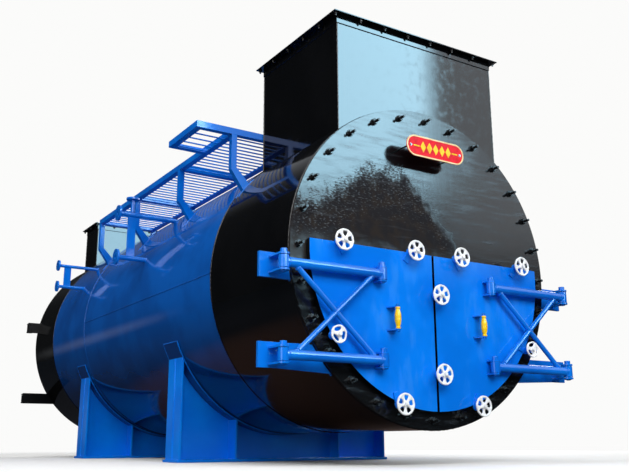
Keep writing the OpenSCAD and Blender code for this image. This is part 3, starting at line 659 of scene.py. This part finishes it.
def arm_welds(side):
    """Beads of one arm: the braces into the pipes, the pipes into the knuckles, and the crossing."""
    pipe_bead_r, brace_bead_r, knuckle_out, foot_out, cross_half = 30.5, 19, 31, 42, 20
    lines = []
    for foot, head in ((BRACE_OUT, BRACE_IN), (BRACE_IN, BRACE_OUT)):
        low, high = place(side * foot, -ARM_Y, ARM_HEIGHTS[0]), place(side * head, -ARM_Y, ARM_HEIGHTS[1])
        run = (high - low).normalized()
        flat = run.cross(Y_AXIS).normalized()
        for end, sign in ((low, 1), (high, -1)):
            lines.append(loop_round(end + sign * run * foot_out * MM, brace_bead_r, Y_AXIS, flat))
    for z in ARM_HEIGHTS:
        for x in (LUG_X + knuckle_out, HINGE_X - knuckle_out):
            lines.append(loop_round(place(side * x, -ARM_Y, z), pipe_bead_r, Y_AXIS, Z_AXIS))
    middle = place(side * (BRACE_OUT + BRACE_IN) / 2, -ARM_Y - 14, sum(ARM_HEIGHTS) / 2)
    lines += [[middle + s * axis * cross_half * MM for s in SIDES] for axis in (X_AXIS, Z_AXIS)]
    weld(ARMS[side] + "_welds", lines, 4, arm_enamel, ARMS[side])


def door_welds(side):
    """Beads of one door's lugs and grip bracket."""
    lug_half, lug_edges = 28, (-39, -51, 39, 51)
    foot_half, foot_edges = 35, (-77, -69, 69, 77)
    seams = [(LUG_X, lug_half, z + dz) for z in ARM_HEIGHTS for dz in lug_edges]
    seams += [(GRIP_X, foot_half, GRIP_Z + dz) for dz in foot_edges]
    lines = [[place(side * (x + dx), -DOOR_FACE, z) for dx in (-half, half)] for x, half, z in seams]
    weld(LEAVES[side] + "_welds", lines, 3.5, arm_enamel, LEAVES[side])


def post_welds():
    """Beads of the walkway's posts on the drum."""
    edges = [post + dy for post in POST_YS for dy in (0, POST_W)]
    lines = [[beside_shell(-1, y, z) for z in range(1930, 2100, 20)] for y in edges]
    weld("walkway_post_welds", lines, 4, steelwork_enamel)


def grating():
    """The walkway's grating: round bars welded to the feet of the beams, coarser on the landing.

    A lane has its left and right end and its pitch, and is cut into bays by the beams."""
    bar_r, lap = 6.5, 4
    walk, landing = (-974, -366, 72), (-1264, -980, 96)
    bays = ((walk, 1071, 2050), (walk, 2056, 3095), (walk, 3101, 4184), (landing, 1071, 1594))
    lines = []
    for (x0, x1, pitch), y0, y1 in bays:
        count = round((y1 - y0) / pitch)
        for i in range(count):
            y = y0 + (y1 - y0) * (i + 0.5) / count
            lines.append([place(x, y, GRATING_Z + bar_r) for x in (x0 - lap, x1 + lap)])
    sizes = {"Bar Radius": bar_r * MM, "Finish": steelwork_enamel}
    grating_bars = grow("grating_bars", line_mesh(lines), BAR_TREE, sizes, "boiler")
    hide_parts("walkway_grating")


# Handwheels by radius: spokes, rim width, hub radius, and a spoke's half width at the hub and at the rim,
# as a share of the sector from one spoke to the next
BIG_WHEEL_R, SMALL_WHEEL_R = 72, 60
WHEEL_FORMS = {BIG_WHEEL_R: (5, 16, 21, 0.34, 0.27), SMALL_WHEEL_R: (3, 14, 19, 0.44, 0.20)}


def wheel_face(bm, radius, front):
    """One face of the casting: for each spoke, rows of points from the bore out to the rim."""
    spokes, rim_w, hub_r, hub_share, rim_share = WHEEL_FORMS[radius]
    sector = math.tau / spokes
    waist = (hub_r + radius - rim_w) / 2
    bore_r, waist_half_w = 9.4, 9.0
    hub_half, waist_half, rim_half = hub_share * sector, waist_half_w / waist, rim_share * sector
    first_spoke, gap_half = math.radians(48), 0.16 * sector
    sign = -1 if front else 1
    bore_rise, boss_rise, hub_rise = (13, 12, 5) if front else (17, 17, 12)
    grid = []
    for k in range(spokes):
        mid = first_spoke + k * sector
        gap = [mid + sector / 2 - gap_half, mid + sector / 2 + gap_half]
        rows = []
        # Radius, height over the wheel's middle, half angle, and the points between two spokes
        for r, rise, half, between in (
                (bore_r, bore_rise, hub_half, []), (hub_r - 3, boss_rise, hub_half, []),
                (hub_r, hub_rise, hub_half, []), (waist, 4.6, waist_half, []),
                (radius - rim_w, 5.0, rim_half, gap), (radius - rim_w / 2, 7.0, rim_half, gap),
                (radius - 1.5, 5.5, rim_half, gap)):
            angles = [mid - half, mid, mid + half] + between
            rows.append([bm.verts.new((r * math.cos(a) * MM, sign * rise * MM, r * math.sin(a) * MM))
                         for a in angles])
        grid.append(rows)
    for k in range(spokes):
        rows, following = grid[k], grid[(k + 1) % spokes]
        for i in range(2):
            for a in range(6):
                bm.faces.new((rows[a][i], rows[a][i + 1], rows[a + 1][i + 1], rows[a + 1][i]))
        for a in (0, 1):
            bm.faces.new((rows[a][2], following[a][0], following[a + 1][0], rows[a + 1][2]))
        for a in (4, 5):
            for i in (2, 3):
                bm.faces.new((rows[a][i], rows[a][i + 1], rows[a + 1][i + 1], rows[a + 1][i]))
            bm.faces.new((rows[a][4], following[a][0], following[a + 1][0], rows[a + 1][4]))
    return [vert for rows in grid for row in rows for vert in row]


def cast_wheel(radius):
    """A handwheel about its own centre with its front towards -Y: flat rim, spokes that widen, raised hub."""
    bm = bmesh.new()
    pairs = dict(zip(wheel_face(bm, radius, True), wheel_face(bm, radius, False)))
    rim = [edge.verts for edge in bm.edges if len(edge.link_faces) == 1 and edge.verts[0] in pairs]
    for a, b in rim:
        bm.faces.new((a, b, pairs[b], pairs[a]))
    bmesh.ops.recalc_face_normals(bm, faces=bm.faces)
    mesh = bpy.data.meshes.new("cast_wheel")
    bm.to_mesh(mesh)
    bm.free()
    for face in mesh.polygons:
        face.use_smooth = True
    source = bpy.data.objects.new("cast_wheel_source", mesh)
    bpy.context.scene.collection.objects.link(source)
    smooth = source.modifiers.new("Smooth", "SUBSURF")
    smooth.levels = smooth.render_levels = 2
    result = bpy.data.meshes.new_from_object(source.evaluated_get(bpy.context.evaluated_depsgraph_get()))
    bpy.data.objects.remove(source)
    return result


def handwheels():
    """A casting in the place of each CAD handwheel, and the nuts that hold them on their screws."""
    nut_seat = 14.5
    meshes = {radius: cast_wheel(radius) for radius in WHEEL_FORMS}
    nuts = {leaf: [] for leaf in LEAVES.values()}
    for name in [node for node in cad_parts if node.endswith("_wheel")]:
        low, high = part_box(name)
        centre = Vector(((low.x + high.x) / 2, FACE_Y - WHEEL_Y * MM, (low.z + high.z) / 2))
        mesh = meshes[SMALL_WHEEL_R if "side" in name else BIG_WHEEL_R].copy()
        mesh.transform(Matrix.Translation(centre))
        mesh.name = name + "_casting"
        piece = keep(name + "_casting", mesh, name, wheel_enamel)
        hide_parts(name)
        leaf = "left_leaf" if name.startswith("left") else "right_leaf"
        nuts[leaf].append((centre - Y_AXIS * nut_seat * MM, -Y_AXIS))
    for leaf, spots in nuts.items():
        studs(leaf + "_wheel_nuts", spots, (13, 1.5, 21, 5, 6, 8), wheel_enamel, leaf)


def pin_washers():
    """Washers at the feet of the hinge pins and the doors' pins."""
    hinge_drop, door_drop = 54.5, 50.5
    columns = {"boiler": ((-HINGE_X, HINGE_X), hinge_drop), "left_leaf": ((-LUG_X,), door_drop),
               "right_leaf": ((LUG_X,), door_drop)}
    for body, (xs, drop) in columns.items():
        spots = [(place(x, -ARM_Y, z - drop), -Z_AXIS) for x in xs for z in ARM_HEIGHTS]
        studs(body + "_pin_washers", spots, (23, 3, 1, 1, 1, 1), arm_enamel, body)


def grip_nuts():
    """Nuts on both ends of the grips' rods."""
    reach, sizes = 77.5, (13, 2, 19, 8, 8, 12)
    for side in SIDES:
        spots = [(place(side * GRIP_X, -GRIP_Y, GRIP_Z + s * reach), s * Z_AXIS) for s in SIDES]
        studs(LEAVES[side] + "_grip_nuts", spots, sizes, arm_enamel, LEAVES[side])


def lining_washers():
    """Washers that hold the lining boards inside the doors."""
    inner_face = -DOOR_FACE + 39.4
    columns = {180: (1200, 900, 600), 500: (1200, 900, 640), 780: (1200, 950)}
    for side in SIDES:
        spots = [(place(side * x, inner_face, z), Y_AXIS) for x, zs in columns.items() for z in zs]
        studs(LEAVES[side] + "_lining_washers", spots, (24, 2, 16, 6, 4, 9), pin_steel, LEAVES[side])


def clamp_nuts():
    """Nuts on the rear cover's clamps."""
    count, first, circle_r, stand = 10, -24, 1062, 30
    spots = [(ring_point(REAR_END + stand, circle_r, first - i * 360 / count), Y_AXIS) for i in range(count)]
    studs("rear_clamp_nuts", spots, (22, 3, 32, 12, 4, 4), nut_enamel)


def flat_sheet(name, outlines, y_front, depth, body, slot, material, bevel_mm=1.0):
    """Plates cut to outlines of (x, z), standing depth deep behind y_front, with rounded edges."""
    bm = bmesh.new()
    for outline in outlines:
        face = bm.faces.new([bm.verts.new(place(x, y_front, z)) for x, z in outline])
        pulled = bmesh.ops.extrude_face_region(bm, geom=[face])["geom"]
        back = [part for part in pulled if isinstance(part, bmesh.types.BMVert)]
        bmesh.ops.translate(bm, vec=Y_AXIS * depth * MM, verts=back)
    bmesh.ops.recalc_face_normals(bm, faces=bm.faces)
    bmesh.ops.bevel(bm, geom=bm.edges[:], offset=bevel_mm * MM, segments=2, affect="EDGES")
    mesh = bpy.data.meshes.new(name)
    bm.to_mesh(mesh)
    bm.free()
    return keep(name, mesh, body, material)


def stadium(length, height, steps=16):
    """The outline of a bar with round ends, about the nameplate's middle."""
    r, reach = height / 2, (length - height) / 2
    turns = [math.pi * i / steps for i in range(steps + 1)]
    right = [(reach + r * math.sin(t), NAME_Z + r * math.cos(t)) for t in turns]
    return right + [(-x, 2 * NAME_Z - z) for x, z in right]


def ring_sheet(name, outer, inner, y_front, depth, body, slot, material):
    """A raised rim between two outlines with the same number of points, with its front edges eased."""
    y_back, eased_out, eased_in = y_front + depth, 0.996, 1.004
    bm = bmesh.new()
    rings = []
    for outline, y, scale in ((outer, y_back, 1.0), (outer, y_front + 1, 1.0), (outer, y_front, eased_out),
                              (inner, y_front, eased_in), (inner, y_back, 1.0)):
        rings.append([bm.verts.new(place(x * scale, y, NAME_Z + (z - NAME_Z) * scale)) for x, z in outline])
    count = len(outer)
    for a in range(len(rings)):
        near, far = rings[a], rings[(a + 1) % len(rings)]
        for i in range(count):
            j = (i + 1) % count
            bm.faces.new((near[i], near[j], far[j], far[i]))
    bmesh.ops.recalc_face_normals(bm, faces=bm.faces)
    mesh = bpy.data.meshes.new(name)
    bm.to_mesh(mesh)
    bm.free()
    return keep(name, mesh, body, material)


def nameplate_trim():
    """The nameplate's raised border, its screws, and a plain ornament of five lozenges and two bars."""
    rim_w, rise, depth = 10, 3, 3.5
    setting = (-NAME_Y - rise, depth, "boiler", "nameplate_enamel")
    inner = stadium(NAME_LEN - 2 * rim_w, NAME_H - 2 * rim_w)
    ring_sheet("nameplate_border", stadium(NAME_LEN, NAME_H), inner, *setting, sign_cream)
    half_w, half_h, pitch = 24, 40, 56
    lozenge = ((-half_w, 0), (0, -half_h), (half_w, 0), (0, half_h))
    ornament = [[(i * pitch + x, NAME_Z + z) for x, z in lozenge] for i in range(-2, 3)]
    bar_start, bar_end, bar_half = 146, 196, 5
    bar = ((bar_start, -bar_half), (bar_end, -bar_half), (bar_end, bar_half), (bar_start, bar_half))
    ornament += [[(side * x, NAME_Z + z) for x, z in bar] for side in SIDES]
    flat_sheet("nameplate_ornament", ornament, *setting, sign_gold, 0.8)
    screw_x = NAME_LEN / 2 - 35
    screws = [(place(side * screw_x, -NAME_Y, NAME_Z), -Y_AXIS) for side in SIDES]
    studs("nameplate_screws", screws, (10, 1.5, 11, 4, 4, 6), pin_steel)


def studio_floor():
    """A pale floor that runs into the white background; mirrors see it brown near by and dark beyond."""
    material, tree, coords = start_material("studio_floor")
    path = add(tree, "ShaderNodeLightPath")
    seen = add(tree, "ShaderNodeMath", [path["Is Camera Ray"], path["Is Transmission Ray"]],
               operation="MAXIMUM")[0]
    away = add(tree, "ShaderNodeVectorMath", [coords], operation="LENGTH")["Value"]
    mirrored = wash(tree, "#5c4238", "#24262c", away, 1.7, 3.1)
    colour = add(tree, "ShaderNodeMix", {0: seen, 6: linear("#77787a"), 7: linear("#f4f4f3")},
                 data_type="RGBA")[2]
    colour = add(tree, "ShaderNodeMix", {0: path["Is Glossy Ray"], 6: colour, 7: mirrored},
                 data_type="RGBA")[2]
    matt = add(tree, "ShaderNodeBsdfPrincipled",
               {"Base Color": colour, "Roughness": 0.9, "Specular IOR Level": 0.1})[0]
    backdrop = add(tree, "ShaderNodeEmission", {"Color": linear("#fbfbfa")})[0]
    faded = within(tree, seen, [(away, 4.5, 9.0, 0.0, 1.0)])
    whole = add(tree, "ShaderNodeMixShader", [faded, matt, backdrop])[0]
    add(tree, "ShaderNodeOutputMaterial", {"Surface": whole})
    mesh = bpy.data.meshes.new("studio_floor")
    half, z = 60, -0.001
    corners = [(-half, -half, z), (half, -half, z), (half, half, z), (-half, half, z)]
    mesh.from_pydata(corners, [], [(0, 1, 2, 3)])
    mesh.materials.append(material)
    floor = bpy.data.objects.new("studio_floor", mesh)
    bpy.context.scene.collection.objects.link(floor)


def studio_world():
    """A white background, a plain fill, and for mirrors a dim room with a bright window, front right."""
    world = bpy.data.worlds.new("studio")
    world.use_nodes = True
    tree = world.node_tree
    tree.nodes.clear()
    x, y, z = add(tree, "ShaderNodeSeparateXYZ", [add(tree, "ShaderNodeTexCoord")["Generated"]])
    ahead = add(tree, "ShaderNodeMath", [y, -1.0], operation="MULTIPLY")[0]
    turn = add(tree, "ShaderNodeMath", [x, ahead], operation="ARCTAN2")[0]
    rise = add(tree, "ShaderNodeMath", [z], operation="ARCSINE")[0]

    def patch(turns, rises, soft, strength):
        """Light of one strength in a window of directions, from low to high in degrees."""
        limits = []
        for value, edges in ((turn, turns), (rise, rises)):
            for edge, least, most in zip(edges, (0.0, 1.0), (1.0, 0.0)):
                low, high = math.radians(edge - soft / 2), math.radians(edge + soft / 2)
                limits.append((value, low, high, least, most))
        return within(tree, strength, limits)

    upper_window, lower_window = patch((18, 41.3), (17, 46), 1.5, 17.5), patch((12, 26), (9, 20), 1.5, 17.5)
    window = add(tree, "ShaderNodeMath", [upper_window, lower_window], operation="MAXIMUM")[0]
    wall = patch((41, 85), (12, 60), 3, 1.7)
    strip = patch((-164, -157), (0.2, 2.6), 3.5, 0.22)
    behind = within(tree, 1.0, [(x, -0.15, 0.25, 0.0, 1.0), (y, 0.3, 0.8, 0.0, 1.0),
                                (rise, math.radians(15), math.radians(30), 0.0, 0.30)])
    room = add(tree, "ShaderNodeMapRange", [z, 0.5, 0.95, 0.015, 0.30], **SMOOTH)[0]
    for light in (behind, wall, strip):
        room = add(tree, "ShaderNodeMath", [room, light], operation="ADD")[0]
    glow = add(tree, "ShaderNodeBackground", {"Color": linear("#b8e8ff"), "Strength": window})[0]
    walls = add(tree, "ShaderNodeBackground", {"Color": linear("#f2f8ff"), "Strength": room})[0]
    mirrored = add(tree, "ShaderNodeAddShader", [glow, walls])[0]
    fill = add(tree, "ShaderNodeBackground", {"Color": linear("#ffffff"), "Strength": 0.25})[0]
    white = add(tree, "ShaderNodeBackground", {"Color": linear("#fbfbfa"), "Strength": 1.0})[0]
    path = add(tree, "ShaderNodeLightPath")
    lit = add(tree, "ShaderNodeMixShader", [path["Is Glossy Ray"], fill, mirrored])[0]
    seen = add(tree, "ShaderNodeMath", [path["Is Camera Ray"], path["Is Transmission Ray"]],
               operation="MAXIMUM")[0]
    whole = add(tree, "ShaderNodeMixShader", [seen, lit, white])[0]
    add(tree, "ShaderNodeOutputWorld", {"Surface": whole})
    bpy.context.scene.world = world


def soft_panel(name, target, turn, rise, distance, size, watts):
    """A large soft panel that faces the target from turn degrees round from the front and rise degrees up."""
    data = bpy.data.lights.new(name, "AREA")
    data.shape, data.size, data.size_y, data.energy = "RECTANGLE", size[0], size[1], watts
    turn, rise = math.radians(turn), math.radians(rise)
    away = Vector((math.sin(turn) * math.cos(rise), -math.cos(turn) * math.cos(rise), math.sin(rise)))
    lamp = bpy.data.objects.new(name, data)
    facing = away.to_track_quat("Z", "Y").to_matrix().to_4x4()
    lamp.matrix_world = Matrix.Translation(target + away * distance) @ facing
    bpy.context.scene.collection.objects.link(lamp)


def photo_camera():
    """The camera where the photograph was taken: low, in front on the left, looking up at the boiler."""
    yaw, pitch, roll = math.radians(32.566), math.radians(14.24), math.radians(-0.2234)
    spot, lens_mm, sensor_mm = place(-3574.7, -4155.4, 146), 46.58, 36
    ahead = Vector((math.sin(yaw) * math.cos(pitch), math.cos(yaw) * math.cos(pitch), math.sin(pitch)))
    right = Vector((math.cos(yaw), -math.sin(yaw), 0))
    up = right.cross(ahead)
    tilted_right = math.cos(roll) * right + math.sin(roll) * up
    tilted_up = -math.sin(roll) * right + math.cos(roll) * up
    data = bpy.data.cameras.new("photo_camera")
    data.sensor_fit, data.sensor_width, data.lens, data.clip_end = "HORIZONTAL", sensor_mm, lens_mm, 300
    camera = bpy.data.objects.new("photo_camera", data)
    turn = Matrix((tilted_right, tilted_up, -ahead)).transposed().to_4x4()
    camera.matrix_world = Matrix.Translation(spot) @ turn
    bpy.context.scene.collection.objects.link(camera)
    bpy.context.scene.camera = camera


# The pieces
front_plate_studs()
flange_bolts()
drum_welds()
uptake_welds()
saddle_welds()
nozzle_welds()
bracket_welds()
for side in SIDES:
    arm_welds(side)
    door_welds(side)
post_welds()
grating()
handwheels()
pin_washers()
grip_nuts()
lining_washers()
clamp_nuts()
nameplate_trim()

# Floor, light and camera
studio_floor()
studio_world()
soft_panel("front_panel", place(0, 1000, 1300), -15, 25, 10, (8, 5), 960)
soft_panel("overhead_left_panel", place(0, 2500, 1300), -85, 56, 9, (6, 9), 500)
soft_panel("rear_right_panel", place(0, 3000, 1300), 125, 24, 10, (7, 4), 620)
soft_panel("low_left_panel", place(-800, 2000, 900), -58, 8, 8, (4, 2.5), 85)
photo_camera()
bpy.context.scene.view_settings.view_transform = "Standard"
